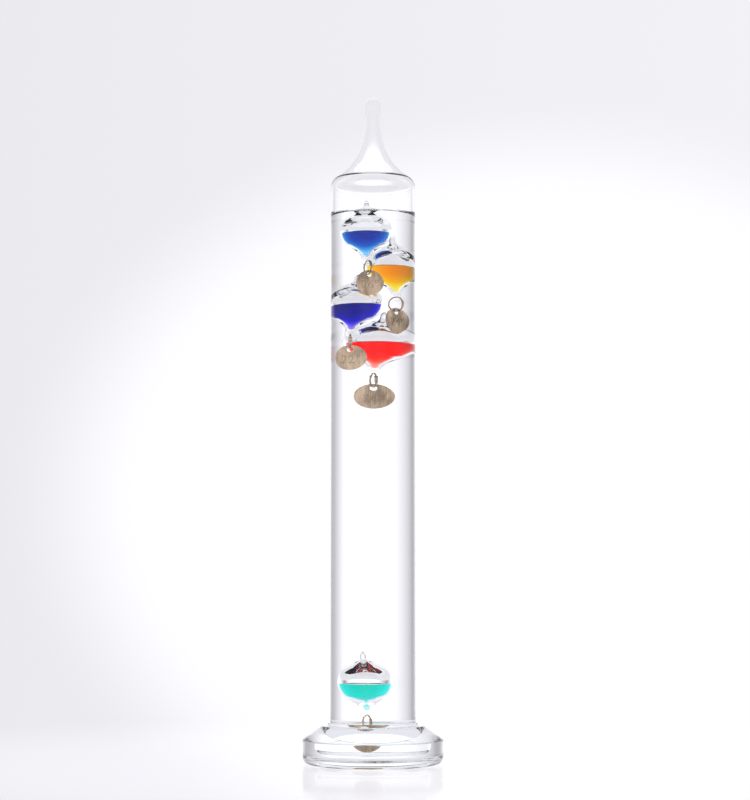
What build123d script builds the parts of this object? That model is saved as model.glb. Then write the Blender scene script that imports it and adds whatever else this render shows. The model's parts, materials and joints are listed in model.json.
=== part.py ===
"""Galileo thermometer: a sealed glass column on a glass foot, with five weighted floats in clear liquid.

Frame: millimetres, +Z up, origin at the centre of the foot's underside, -Y towards the viewer.
Every solid is written to parts/NODE.step in this one frame.
"""

import os
from dataclasses import dataclass
from math import cos, radians, sin

from build123d import *

# Vessel
TOTAL_HEIGHT = 280.0
TUBE_RADIUS = 17.8
TUBE_WALL = 1.6
TUBE_BOTTOM = 2.7
TUBE_BOTTOM_THICKNESS = 1.7
TUBE_CORNER_RADIUS = 4.0
SHOULDER_HEIGHT = 241.0
SHOULDER_RADIUS = 5.0
SHOULDER_TURN = 55.0
TIP_RADIUS = 3.15
TIP_WALL = 0.95
NECK_OUTSIDE = ((10.0, 249.9), (7.2, 254.1), (5.3, 258.7), (3.75, 266.7))
NECK_STATIONS = (0.15, 0.3, 0.45, 0.6, 0.8)

# Foot and its bond
BASE_RADIUS = 29.2
BASE_RIM_HEIGHT = 10.1
BASE_TOP_HEIGHT = 15.9
BASE_TOP_RADIUS = 21.2
BASE_UNDER_EDGE = 3.0
BASE_RIM_EDGE = 1.2
BASE_TOP_EDGE = 1.5
BOND_THICKNESS = 0.2
BEAD_WIDTH = 1.3
BEAD_HEIGHT = 1.2

# Liquid
LIQUID_LEVEL = 228.6
MENISCUS_RISE = 1.8
MENISCUS_WIDTH = 2.4
LIQUID_GAP = 0.15

# Floats, measured from the centre of the round body
BULB_RADIUS = 8.6
NIB_TOP = 13.6
NIB_TIP_RADIUS = 0.95
NIB_ROOT = (1.5, 9.3)
NIB_FLARE_ANGLE = 31.0
NIP_BOTTOM = -12.0
NIP_RADIUS = 1.6
NIP_ROOT = (2.7, -9.2)
NIP_FLARE_ANGLE = 42.0
CAVITY_RADIUS = 8.15
CAVITY_TOP = 12.7
CAVITY_NECK = ((5.7, 5.35), (3.5, 6.8), (1.85, 8.15), (1.02, 9.5), (0.62, 12.0))
CAVITY_FLARE_ANGLE = 63.0
CAVITY_BOTTOM_FLARE = (4.1, -6.6)
CAVITY_BOTTOM_ANGLE = 52.0
CAVITY_WAIST_HEIGHT = -8.6
CAVITY_TAIL_RADIUS = 1.15
CAVITY_TAIL_HEIGHT = -10.2
EYE_HEIGHT = -13.2
EYE_RADIUS = 1.9
EYE_HOLE_RADIUS = 0.85
EYE_THICKNESS = 1.2
EYE_EDGE = 0.4

# Ring and tag
RING_RADIUS = 2.95
RING_WIRE_RADIUS = 0.25
RING_DROP = 0.1
TAG_RADIUS = 5.2
TAG_THICKNESS = 0.35
TAG_HOLE_RADIUS = 1.0
TAG_HOLE_OFFSET = 3.4
TAG_DROP = 0.5


@dataclass(frozen=True)
class Float:
    """One float: body centre, lean from upright, turn of its ring, dye level and narrowest hollow.

    The ring tilt is how far the ring is pushed forward in its own plane from hanging straight down.
    """

    name: str
    centre: tuple[float, float, float]
    lean_right: float
    lean_back: float
    turn: float
    ring_tilt: float
    dye_level: float
    waist: float


FLOATS = (
    Float("light_blue", (-2.5, -3.9, 221.4), -1.0, 6.0, 22.0, 28.0, -0.8, 2.1),
    Float("amber", (6.05, 1.3, 207.0), -4.0, 6.5, 58.0, 0.0, -0.2, 2.1),
    Float("violet", (-5.5, 1.0, 191.1), 6.5, 9.0, -5.0, 0.0, -0.4, 2.1),
    Float("red", (1.5, 6.85, 175.4), 6.0, 0.0, 15.0, 0.0, -0.3, 2.1),
    Float("green", (-2.4, -1.0, 33.6), -3.0, 0.0, 21.0, 0.0, -0.5, 0.5),
)


def turned(outline: Face) -> Part:
    """Turns a half outline, drawn with X as radius and Y as height, about the vertical axis."""
    return revolve(Plane.XZ * outline, Axis.Z)


def on_circle(radius: float, angle: float, height: float = 0.0) -> tuple[float, float]:
    """Point on a circle about the axis, at an angle above the horizontal."""
    return (radius * cos(radians(angle)), height + radius * sin(radians(angle)))


def vessel_outline(inside: bool) -> Face:
    """Half outline of the vessel's outside, or of the space inside its wall."""
    wall = TUBE_WALL if inside else 0.0
    tip_wall = TIP_WALL if inside else 0.0
    radius = TUBE_RADIUS - wall
    bottom = TUBE_BOTTOM + (TUBE_BOTTOM_THICKNESS if inside else 0.0)
    corner = TUBE_CORNER_RADIUS - wall
    tip_radius = TIP_RADIUS - tip_wall
    tip_centre = TOTAL_HEIGHT - TIP_RADIUS
    shoulder_centre = (TUBE_RADIUS - SHOULDER_RADIUS, SHOULDER_HEIGHT)
    shoulder = CenterArc(shoulder_centre, SHOULDER_RADIUS - wall, 0, SHOULDER_TURN)
    stations = neck_points(wall, tip_wall)
    neck = Spline(
        [shoulder @ 1, *stations, (tip_radius, tip_centre)],
        tangents=[shoulder % 1, (0, 1)],
    )
    lines = [
        Line((0, bottom), (radius - corner, bottom)),
        CenterArc((radius - corner, bottom + corner), corner, 270, 90),
        Line((radius, bottom + corner), (radius, SHOULDER_HEIGHT)),
        shoulder,
        neck,
        CenterArc((0, tip_centre), tip_radius, 0, 90),
        Line((0, tip_centre + tip_radius), (0, bottom)),
    ]
    return make_face(lines)


def neck_points(wall: float, tip_wall: float) -> list[Vector]:
    """Points of the drawn-out neck, moved square to its outside by a wall that thins towards the tip."""
    start = Vector(*on_circle(SHOULDER_RADIUS, SHOULDER_TURN, SHOULDER_HEIGHT))
    start += Vector(TUBE_RADIUS - SHOULDER_RADIUS, 0)
    direction = Vector(*on_circle(1, SHOULDER_TURN + 90))
    outside = Spline(
        [start, *NECK_OUTSIDE, (TIP_RADIUS, TOTAL_HEIGHT - TIP_RADIUS)],
        tangents=[direction, (0, 1)],
    )
    points = []
    for station in NECK_STATIONS:
        along = outside % station
        depth = wall + (tip_wall - wall) * station
        points.append(outside @ station + Vector(-along.Y, along.X) * depth)
    return points


def foot_outline() -> Face:
    """Half outline of the solid foot before its socket is cut."""
    corners = Polyline(
        (0, 0),
        (BASE_RADIUS, 0),
        (BASE_RADIUS, BASE_RIM_HEIGHT),
        (BASE_TOP_RADIUS, BASE_TOP_HEIGHT),
        (0, BASE_TOP_HEIGHT),
        (0, 0),
    )
    outline = make_face(corners)
    for place, edge in (
        ((BASE_RADIUS, 0), BASE_UNDER_EDGE),
        ((BASE_RADIUS, BASE_RIM_HEIGHT), BASE_RIM_EDGE),
        ((BASE_TOP_RADIUS, BASE_TOP_HEIGHT), BASE_TOP_EDGE),
    ):
        vertex = outline.vertices().sort_by_distance((*place, 0))[0]
        outline = fillet(vertex, edge)
    return outline


def socket_outline() -> Face:
    """Half outline of the socket: the tube's round bottom, grown by the bond's thickness."""
    radius = TUBE_RADIUS + BOND_THICKNESS
    corner = TUBE_CORNER_RADIUS + BOND_THICKNESS
    bottom = TUBE_BOTTOM - BOND_THICKNESS
    lines = [
        Line((0, bottom), (radius - corner, bottom)),
        CenterArc((radius - corner, bottom + corner), corner, 270, 90),
        Line((radius, bottom + corner), (radius, BASE_TOP_HEIGHT)),
        Line((radius, BASE_TOP_HEIGHT), (0, BASE_TOP_HEIGHT)),
        Line((0, BASE_TOP_HEIGHT), (0, bottom)),
    ]
    return make_face(lines)


def bead_outline() -> Face:
    """Half outline of the small fillet of bond that stands round the tube on the foot."""
    foot = (TUBE_RADIUS - BOND_THICKNESS, BASE_TOP_HEIGHT)
    top = (TUBE_RADIUS - BOND_THICKNESS, BASE_TOP_HEIGHT + BEAD_HEIGHT)
    crest = (TUBE_RADIUS + BOND_THICKNESS, BASE_TOP_HEIGHT + BEAD_HEIGHT)
    rim = (TUBE_RADIUS + BEAD_WIDTH, BASE_TOP_HEIGHT)
    belly = (TUBE_RADIUS + BEAD_WIDTH * 0.75, BASE_TOP_HEIGHT + BEAD_HEIGHT * 0.62)
    lines = [
        Line(foot, top),
        Line(top, crest),
        ThreePointArc(crest, belly, rim),
        Line(rim, foot),
    ]
    return make_face(lines)


def liquid_outline() -> Face:
    """Half outline of the liquid: all the space in the vessel up to the level, with a raised rim at the glass."""
    radius = TUBE_RADIUS - TUBE_WALL
    bottom = TUBE_BOTTOM + TUBE_BOTTOM_THICKNESS
    corner = TUBE_CORNER_RADIUS - TUBE_WALL
    rim = (radius, LIQUID_LEVEL + MENISCUS_RISE)
    flat_end = (radius - MENISCUS_WIDTH, LIQUID_LEVEL)
    middle = (radius - MENISCUS_WIDTH * 0.36, LIQUID_LEVEL + MENISCUS_RISE * 0.36)
    lines = [
        Line((0, bottom), (radius - corner, bottom)),
        CenterArc((radius - corner, bottom + corner), corner, 270, 90),
        Line((radius, bottom + corner), rim),
        ThreePointArc(rim, middle, flat_end),
        Line(flat_end, (0, LIQUID_LEVEL)),
        Line((0, LIQUID_LEVEL), (0, bottom)),
    ]
    return make_face(lines)


def bulb_outline() -> Face:
    """Half outline of the bulb's glass: round body, drawn nib on top and nip underneath."""
    body = CenterArc((0, 0), BULB_RADIUS, NIP_FLARE_ANGLE - 90, 180 - NIP_FLARE_ANGLE - NIB_FLARE_ANGLE)
    nib_shoulder = NIB_TOP - NIB_TIP_RADIUS
    lines = [
        Spline(
            [(NIP_RADIUS, NIP_BOTTOM), NIP_ROOT, body @ 0],
            tangents=[(0, 1), body % 0],
        ),
        body,
        Spline(
            [body @ 1, NIB_ROOT, (NIB_TIP_RADIUS, nib_shoulder)],
            tangents=[body % 1, (0, 1)],
        ),
        CenterArc((0, nib_shoulder), NIB_TIP_RADIUS, 0, 90),
        Line((0, NIB_TOP), (0, NIP_BOTTOM)),
        Line((0, NIP_BOTTOM), (NIP_RADIUS, NIP_BOTTOM)),
    ]
    return make_face(lines)


def cavity_outline(waist: float) -> Face:
    """Half outline of the hollow inside the bulb, drawn up into the nib and down through a waist into the nip."""
    span = CAVITY_FLARE_ANGLE + CAVITY_BOTTOM_ANGLE
    body = CenterArc((0, 0), CAVITY_RADIUS, CAVITY_BOTTOM_ANGLE - 90, 180 - span)
    tail = CenterArc((0, CAVITY_TAIL_HEIGHT), CAVITY_TAIL_RADIUS, 270, 90)
    lines = [
        tail,
        Spline(
            [tail @ 1, (waist, CAVITY_WAIST_HEIGHT), CAVITY_BOTTOM_FLARE, body @ 0],
            tangents=[tail % 1, body % 0],
        ),
        body,
        Spline(
            [body @ 1, *CAVITY_NECK, (0, CAVITY_TOP)],
            tangents=[body % 1, (-1, 0)],
        ),
        Line((0, CAVITY_TOP), tail @ 0),
    ]
    return make_face(lines)


def eye(grow: float = 0.0) -> Part:
    """Glass eye under the nip; its hole runs along Y. With a growth it is a plain filled disc."""
    disc = Cylinder(EYE_RADIUS + grow, EYE_THICKNESS + 2 * grow, rotation=(90, 0, 0))
    if not grow:
        disc = fillet(disc.edges().filter_by(GeomType.CIRCLE), EYE_EDGE)
        disc -= Cylinder(EYE_HOLE_RADIUS, EYE_THICKNESS * 2, rotation=(90, 0, 0))
    return Pos(0, 0, EYE_HEIGHT) * disc


def body_place(item: Float) -> Location:
    """Placement of a float's body: its ring direction turned, then the whole leant, at its centre."""
    lean = Rotation(-item.lean_back, item.lean_right, 0)
    return Pos(*item.centre) * lean * Rotation(0, 0, item.turn)


def ring_hinge(item: Float) -> Vector:
    """Where the ring's wire rests in the eye."""
    eye_centre = body_place(item) * Pos(0, 0, EYE_HEIGHT)
    return Vector(*eye_centre.position) - Vector(0, 0, RING_DROP)


def hanging_place(item: Float, reach: float, drop: float = 0.0) -> Location:
    """Placement at a reach from the hinge across the ring and a drop below that, turned with the ring."""
    turn = Rotation(0, 0, item.turn)
    across_ring = Pos(0, -reach * sin(radians(item.ring_tilt)), -reach * cos(radians(item.ring_tilt)) - drop)
    return Pos(*ring_hinge(item)) * turn * across_ring


def ring(item: Float, grow: float = 0.0) -> Part:
    """Wire ring, standing in the plane of the eye's hole."""
    wire = Torus(RING_RADIUS, RING_WIRE_RADIUS + grow, rotation=(0, 90, 0))
    return hanging_place(item, RING_RADIUS) * wire


def tag(item: Float, grow: float = 0.0) -> Part:
    """Round weight tag with a hole for the ring; with a growth it is a plain filled disc."""
    disc = Cylinder(TAG_RADIUS + grow, TAG_THICKNESS + 2 * grow, rotation=(90, 0, 0))
    if not grow:
        hole = Cylinder(TAG_HOLE_RADIUS, TAG_THICKNESS * 3, rotation=(90, 0, 0))
        disc -= Pos(0, 0, TAG_HOLE_OFFSET) * hole
    return hanging_place(item, 2 * RING_RADIUS, TAG_DROP + TAG_HOLE_OFFSET) * disc


def bulb_and_dye(item: Float) -> tuple[Part, Part]:
    """Glass bulb with its eye, and the dyed water that fills the hollow up to the float's level."""
    place = body_place(item)
    hollow = place * turned(cavity_outline(item.waist))
    glass = place * (turned(bulb_outline()) + eye()) - hollow
    x, y, z = item.centre
    above = Pos(x, y, z + item.dye_level + BULB_RADIUS) * Box(*(4 * BULB_RADIUS,) * 2, 2 * BULB_RADIUS)
    return glass, hollow - above


def float_space(item: Float) -> list[Part]:
    """Space in the liquid that a float's pieces take up, with a little room round them."""
    grown = 1 + LIQUID_GAP / BULB_RADIUS
    place = body_place(item)
    return [
        place * scale(turned(bulb_outline()), by=grown),
        place * eye(LIQUID_GAP),
        ring(item, LIQUID_GAP),
        tag(item, LIQUID_GAP),
    ]


def make_nodes() -> dict[str, Part]:
    """All nodes by name."""
    vessel = turned(vessel_outline(inside=False))
    socket = turned(socket_outline())
    liquid = turned(liquid_outline())
    for item in FLOATS:
        for space in float_space(item):
            liquid -= space
    nodes = {
        "glass_tube": vessel - turned(vessel_outline(inside=True)),
        "glass_base": turned(foot_outline()) - socket,
        "base_bond": (socket + turned(bead_outline())) - vessel,
        "fill_liquid": liquid,
    }
    for item in FLOATS:
        nodes[f"{item.name}_bulb"], nodes[f"{item.name}_dye"] = bulb_and_dye(item)
        nodes[f"{item.name}_ring"] = ring(item)
        nodes[f"{item.name}_tag"] = tag(item)
    return nodes


def main() -> None:
    """Writes one STEP file per node and prints each float's hinge points."""
    os.makedirs("parts", exist_ok=True)
    for name, part in make_nodes().items():
        export_step(part, f"parts/{name}.step")
    for item in FLOATS:
        ring_at = [round(value, 3) for value in ring_hinge(item)]
        tag_at = [round(value, 3) for value in hanging_place(item, 2 * RING_RADIUS).position]
        print(f"{item.name}: ring hinge {ring_at}, tag hinge {tag_at}")


if __name__ == "__main__":
    main()
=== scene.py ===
import json
import logging
import math
from collections.abc import Callable
from dataclasses import dataclass, field
from enum import Enum

import bpy
from mathutils import Matrix, Vector


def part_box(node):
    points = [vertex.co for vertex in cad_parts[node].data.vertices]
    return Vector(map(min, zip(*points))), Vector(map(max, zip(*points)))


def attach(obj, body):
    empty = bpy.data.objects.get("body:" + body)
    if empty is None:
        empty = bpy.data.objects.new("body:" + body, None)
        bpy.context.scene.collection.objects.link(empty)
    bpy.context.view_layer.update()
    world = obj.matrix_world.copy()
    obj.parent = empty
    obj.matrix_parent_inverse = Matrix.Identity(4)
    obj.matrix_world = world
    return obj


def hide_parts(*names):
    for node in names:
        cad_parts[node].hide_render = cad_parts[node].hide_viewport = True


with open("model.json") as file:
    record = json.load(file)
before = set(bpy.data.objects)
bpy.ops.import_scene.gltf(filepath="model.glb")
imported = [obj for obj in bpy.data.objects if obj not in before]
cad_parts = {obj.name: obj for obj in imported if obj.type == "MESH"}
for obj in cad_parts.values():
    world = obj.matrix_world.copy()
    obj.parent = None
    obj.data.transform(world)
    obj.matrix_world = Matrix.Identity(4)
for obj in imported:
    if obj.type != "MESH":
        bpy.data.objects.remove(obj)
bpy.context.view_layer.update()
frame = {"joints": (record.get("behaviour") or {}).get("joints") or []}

log = logging.getLogger("galileo_thermometer")

MM = 0.001
MERGE_DISTANCE = 1e-7
UP = Vector((0.0, 0.0, 1.0))
Point = tuple[float, float]
Chooser = Callable[[Vector, Vector], int]


class Medium(Enum):
    """What light travels through, with its refractive index."""

    AIR = 1.0
    DYED_WATER = 1.395
    LIQUID = 1.435
    GLASS = 1.49
    BULB_GLASS = 1.53


class Outline:
    """Half outline of a turned shape, as (radius, height) points in millimetres."""

    def __init__(self, radius: float, height: float) -> None:
        """Starts the outline.

        Args:
            radius: Distance of the first point from the axis.
            height: Height of the first point.
        """
        self.points: list[Point] = [(radius, height)]

    def line(self, radius: float, height: float, pieces: int = 1) -> "Outline":
        """Adds a straight stretch.

        Args:
            radius: Radius of its end.
            height: Height of its end.
            pieces: Number of equal parts it is divided into.

        Returns:
            The outline itself.
        """
        r0, z0 = self.points[-1]
        for i in range(1, pieces + 1):
            t = i / pieces
            self.points.append((r0 + (radius - r0) * t, z0 + (height - z0) * t))
        return self

    def arc(self, centre: Point, radius: float, start: float, end: float, pieces: int) -> "Outline":
        """Adds a round stretch that begins at the last point.

        Args:
            centre: Centre of the arc.
            radius: Radius of the arc.
            start: Angle of its first point above the horizontal, in degrees.
            end: Angle of its last point.
            pieces: Number of equal parts.

        Returns:
            The outline itself.
        """
        for i in range(1, pieces + 1):
            angle = math.radians(start + (end - start) * i / pieces)
            x = centre[0] + radius * math.cos(angle)
            self.points.append((max(x, 0.0) if abs(x) > 1e-9 else 0.0, centre[1] + radius * math.sin(angle)))
        return self

    def flow(self, start: Point, through: list[Point], end: Point, pieces: int) -> "Outline":
        """Adds a smooth curve through points, with given directions at its two ends.

        Args:
            start: Direction of travel at the last point so far.
            through: Points to pass; the last one ends the curve.
            end: Direction of travel at the end.
            pieces: Number of parts between two points.

        Returns:
            The outline itself.
        """
        knots = [Vector(self.points[-1]), *[Vector(p) for p in through]]
        spans = [(b - a).length for a, b in zip(knots, knots[1:])]
        slopes = [Vector(start).normalized()]
        for i in range(1, len(knots) - 1):
            before, after = spans[i - 1], spans[i]
            left = (knots[i] - knots[i - 1]) / before
            right = (knots[i + 1] - knots[i]) / after
            slopes.append((left * after + right * before) / (before + after))
        slopes.append(Vector(end).normalized())
        for i, span in enumerate(spans):
            for j in range(1, pieces + 1):
                spot = hermite(knots[i], knots[i + 1], slopes[i], slopes[i + 1], span, j / pieces)
                self.points.append(tuple(spot))
        return self


def hermite(a: Vector, b: Vector, slope_a: Vector, slope_b: Vector, span: float, t: float) -> Vector:
    """Point on a cubic between two points with given slopes.

    Args:
        a: First point.
        b: Second point.
        slope_a: Slope at the first point, per unit of length.
        slope_b: Slope at the second point.
        span: Length that the slopes are scaled by.
        t: Share of the way, 0 to 1.

    Returns:
        The point.
    """
    t2, t3 = t * t, t * t * t
    near = a * (2 * t3 - 3 * t2 + 1) + slope_a * span * (t3 - 2 * t2 + t)
    return near + b * (3 * t2 - 2 * t3) + slope_b * span * (t3 - t2)


# ---------------------------------------------------------------- bench tools


def deselect() -> None:
    """Leaves nothing selected, in object mode."""
    if bpy.context.object and bpy.context.object.mode != "OBJECT":
        bpy.ops.object.mode_set(mode="OBJECT")
    bpy.ops.object.select_all(action="DESELECT")


def take(*pieces: bpy.types.Object) -> None:
    """Selects the pieces; the last one is active."""
    deselect()
    for piece in pieces:
        piece.select_set(True)
    bpy.context.view_layer.objects.active = pieces[-1]


def edit(piece: bpy.types.Object) -> None:
    """Opens a piece in edit mode with everything on it selected."""
    take(piece)
    bpy.ops.object.mode_set(mode="EDIT")
    bpy.ops.mesh.select_all(action="SELECT")


def close_edit() -> None:
    """Returns to object mode."""
    bpy.ops.object.mode_set(mode="OBJECT")


def settle(piece: bpy.types.Object, place: Matrix) -> None:
    """Moves a piece to its place and applies it, so that the place is in the mesh."""
    take(piece)
    piece.matrix_world = place @ piece.matrix_world
    bpy.ops.object.transform_apply(location=True, rotation=True, scale=True)


def copy_of(piece: bpy.types.Object, name: str) -> bpy.types.Object:
    """Copies a piece with a mesh of its own."""
    take(piece)
    bpy.ops.object.duplicate(linked=False)
    twin = bpy.context.object
    twin.name = name
    twin.data.name = name
    return twin


def join(name: str, *pieces: bpy.types.Object) -> bpy.types.Object:
    """Joins pieces into the last one and names it."""
    take(*pieces)
    bpy.ops.object.join()
    whole = bpy.context.object
    whole.name = name
    whole.data.name = name
    return whole


def cut(piece: bpy.types.Object, tool: bpy.types.Object, operation: str = "DIFFERENCE") -> None:
    """Applies a boolean of the tool to the piece and discards the tool.

    Args:
        piece: Piece that is changed.
        tool: Piece that cuts it or is added to it.
        operation: DIFFERENCE or UNION.
    """
    take(piece)
    boolean = piece.modifiers.new("cut", "BOOLEAN")
    boolean.operation = operation
    boolean.solver = "EXACT"
    boolean.object = tool
    bpy.ops.object.modifier_apply(modifier=boolean.name)
    bpy.data.objects.remove(tool)


def smooth(piece: bpy.types.Object, angle: float = 35.0) -> None:
    """Shades a piece smooth, with edges sharper than the angle left crisp."""
    take(piece)
    bpy.ops.object.shade_smooth_by_angle(angle=math.radians(angle))


def lathe(name: str, outline: Outline, segments: int, inward: bool = False) -> bpy.types.Object:
    """Turns an outline about the Z axis.

    Args:
        name: Name of the new piece.
        outline: Half outline, whose ends lie on the axis.
        segments: Number of steps of the turn.
        inward: Whether the faces look towards the hollow inside.

    Returns:
        The new piece, a closed surface.
    """
    deselect()
    bpy.ops.mesh.primitive_plane_add(size=MM)
    piece = bpy.context.object
    piece.name = name
    piece.data.name = name
    edit(piece)
    bpy.ops.mesh.merge(type="CENTER")
    last = Vector((0.0, 0.0, 0.0))
    for i, (radius, height) in enumerate(outline.points):
        place = Vector((radius * MM, 0.0, height * MM))
        step = tuple(place - last)
        if i == 0:
            bpy.ops.transform.translate(value=step)
        else:
            bpy.ops.mesh.extrude_vertices_move(TRANSFORM_OT_translate={"value": step})
        last = place
    bpy.ops.mesh.select_all(action="SELECT")
    bpy.ops.mesh.spin(steps=segments, angle=math.tau, center=(0.0, 0.0, 0.0), axis=(0.0, 0.0, 1.0))
    bpy.ops.mesh.select_all(action="SELECT")
    bpy.ops.mesh.remove_doubles(threshold=MERGE_DISTANCE * 20)
    bpy.ops.mesh.normals_make_consistent(inside=inward)
    close_edit()
    return piece


def disc(name: str, radius: float, thickness: float, height: float, sides: int) -> bpy.types.Object:
    """Adds an upright disc that faces along Y.

    Args:
        name: Name of the new piece.
        radius: Its radius in millimetres.
        thickness: Its thickness along Y.
        height: Height of its centre.
        sides: Number of sides.

    Returns:
        The piece.
    """
    deselect()
    bpy.ops.mesh.primitive_cylinder_add(
        vertices=sides,
        radius=radius * MM,
        depth=thickness * MM,
        location=(0.0, 0.0, height * MM),
        rotation=(math.pi / 2, 0.0, 0.0),
    )
    piece = bpy.context.object
    piece.name = name
    piece.data.name = name
    take(piece)
    bpy.ops.object.transform_apply(location=True, rotation=True, scale=True)
    return piece


def slice_level(piece: bpy.types.Object, height: float, keep_below: bool = False) -> None:
    """Cuts a piece at a level.

    Args:
        piece: Piece to cut.
        height: Height of the cut in metres.
        keep_below: Whether what is above the cut is removed and the opening closed.
    """
    edit(piece)
    bpy.ops.mesh.bisect(
        plane_co=(0.0, 0.0, height),
        plane_no=(0.0, 0.0, 1.0),
        use_fill=keep_below,
        clear_outer=keep_below,
        threshold=MERGE_DISTANCE,
    )
    close_edit()


def dress(piece: bpy.types.Object, finishes: list[bpy.types.Material], choose: Chooser) -> None:
    """Gives each face of a piece one of several finishes.

    Args:
        piece: Piece to dress.
        finishes: Materials, in slot order.
        choose: Function of a face's centre in millimetres and its normal, giving the slot number.
    """
    piece.data.materials.clear()
    for finish in finishes:
        piece.data.materials.append(finish)
    for face in piece.data.polygons:
        face.material_index = choose(face.center / MM, face.normal)


# ---------------------------------------------------------------- finishes


class Nodes:
    """Small helper to write a material's node tree."""

    def __init__(self, name: str) -> None:
        """Makes an empty material of this name."""
        self.material = bpy.data.materials.new(name)
        self.material.use_nodes = True
        self.tree = self.material.node_tree
        self.tree.nodes.clear()
        self.output = self.tree.nodes.new("ShaderNodeOutputMaterial")

    def add(self, kind: str, **settings) -> bpy.types.Node:
        """Adds a node.

        Args:
            kind: Node type without the ShaderNode prefix.
            settings: Properties of the node, or values of its inputs by name with underscores for spaces.

        Returns:
            The node.
        """
        node = self.tree.nodes.new("ShaderNode" + kind)
        for key, value in settings.items():
            if hasattr(node, key):
                setattr(node, key, value)
            else:
                node.inputs[key.replace("_", " ")].default_value = value
        return node

    def link(self, source: bpy.types.NodeSocket, target: bpy.types.NodeSocket) -> None:
        """Joins two sockets."""
        self.tree.links.new(source, target)

    def object_pattern(self, stretch: tuple[float, float, float]) -> bpy.types.NodeSocket:
        """Object coordinates with each axis scaled.

        Args:
            stretch: Scale along X, Y and Z, in cells per metre.

        Returns:
            The vector socket to read.
        """
        where = self.add("TexCoord")
        mapping = self.add("Mapping")
        mapping.inputs["Scale"].default_value = stretch
        self.link(where.outputs["Object"], mapping.inputs["Vector"])
        return mapping.outputs["Vector"]

    def noise(
        self, vector: bpy.types.NodeSocket, detail: float, roughness: float = 0.5
    ) -> bpy.types.NodeSocket:
        """Noise read at a vector.

        Args:
            vector: Where to read it.
            detail: Number of finer layers.
            roughness: Strength of the finer layers.

        Returns:
            The value socket.
        """
        texture = self.add("TexNoise", Scale=1.0, Detail=detail, Roughness=roughness)
        self.link(vector, texture.inputs["Vector"])
        return texture.outputs["Fac"]

    def bump(self, height: bpy.types.NodeSocket, strength: float, distance: float) -> bpy.types.NodeSocket:
        """Bump from a height.

        Args:
            height: Height socket.
            strength: Strength, 0 to 1.
            distance: Height of the relief in metres.

        Returns:
            The normal socket.
        """
        node = self.add("Bump", Strength=strength, Distance=distance)
        self.link(height, node.inputs["Height"])
        return node.outputs["Normal"]

    def ramp(self, value: bpy.types.NodeSocket, stops: list[tuple[float, tuple]]) -> bpy.types.NodeSocket:
        """Colour ramp over a value.

        Args:
            value: Value socket.
            stops: Positions with their colours.

        Returns:
            The colour socket.
        """
        node = self.add("ValToRGB")
        elements = node.color_ramp.elements
        elements[0].position, elements[0].color = stops[0]
        elements[1].position, elements[1].color = stops[-1]
        for position, colour in stops[1:-1]:
            elements.new(position).color = colour
        self.link(value, node.inputs["Fac"])
        return node.outputs["Color"]

    def finish(self, shader: bpy.types.Node) -> bpy.types.Material:
        """Connects the surface and returns the material."""
        self.link(shader.outputs[0], self.output.inputs["Surface"])
        return self.material


@dataclass(frozen=True)
class ClearFinish:
    """Clear material seen across one of its faces; the index is the ratio of the two sides."""

    name: str
    inside: Medium
    outside: Medium
    wave_height: float = 0.0
    wave_stretch: tuple[float, float, float] = (60.0, 60.0, 8.0)
    tint: tuple[float, float, float] = (0.995, 0.998, 1.0)

    def material(self) -> bpy.types.Material:
        """Builds the material, with a faint drawn waviness where it has one."""
        nodes = Nodes(self.name)
        glass = nodes.add("BsdfPrincipled", Roughness=0.0)
        glass.inputs["Base Color"].default_value = (*self.tint, 1.0)
        glass.inputs["Transmission Weight"].default_value = 1.0
        glass.inputs["IOR"].default_value = self.inside.value / self.outside.value
        if self.wave_height:
            waves = nodes.noise(nodes.object_pattern(self.wave_stretch), detail=1.5, roughness=0.4)
            nodes.link(nodes.bump(waves, 1.0, self.wave_height), glass.inputs["Normal"])
        return nodes.finish(glass)


@dataclass(frozen=True)
class DyeFinish:
    """Dyed water: clear sides and top, coloured by how much of it light passes through."""

    name: str
    colour: tuple[float, float, float]
    density: float
    outside: Medium

    def material(self) -> bpy.types.Material:
        """Builds the material with its absorption."""
        nodes = Nodes(self.name)
        water = nodes.add("BsdfPrincipled", Roughness=0.0)
        water.inputs["Base Color"].default_value = (1.0, 1.0, 1.0, 1.0)
        water.inputs["Transmission Weight"].default_value = 1.0
        water.inputs["IOR"].default_value = Medium.DYED_WATER.value / self.outside.value
        absorb = nodes.add("VolumeAbsorption", Density=self.density)
        absorb.inputs["Color"].default_value = (*self.colour, 1.0)
        nodes.link(absorb.outputs["Volume"], nodes.output.inputs["Volume"])
        return nodes.finish(water)


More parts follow.
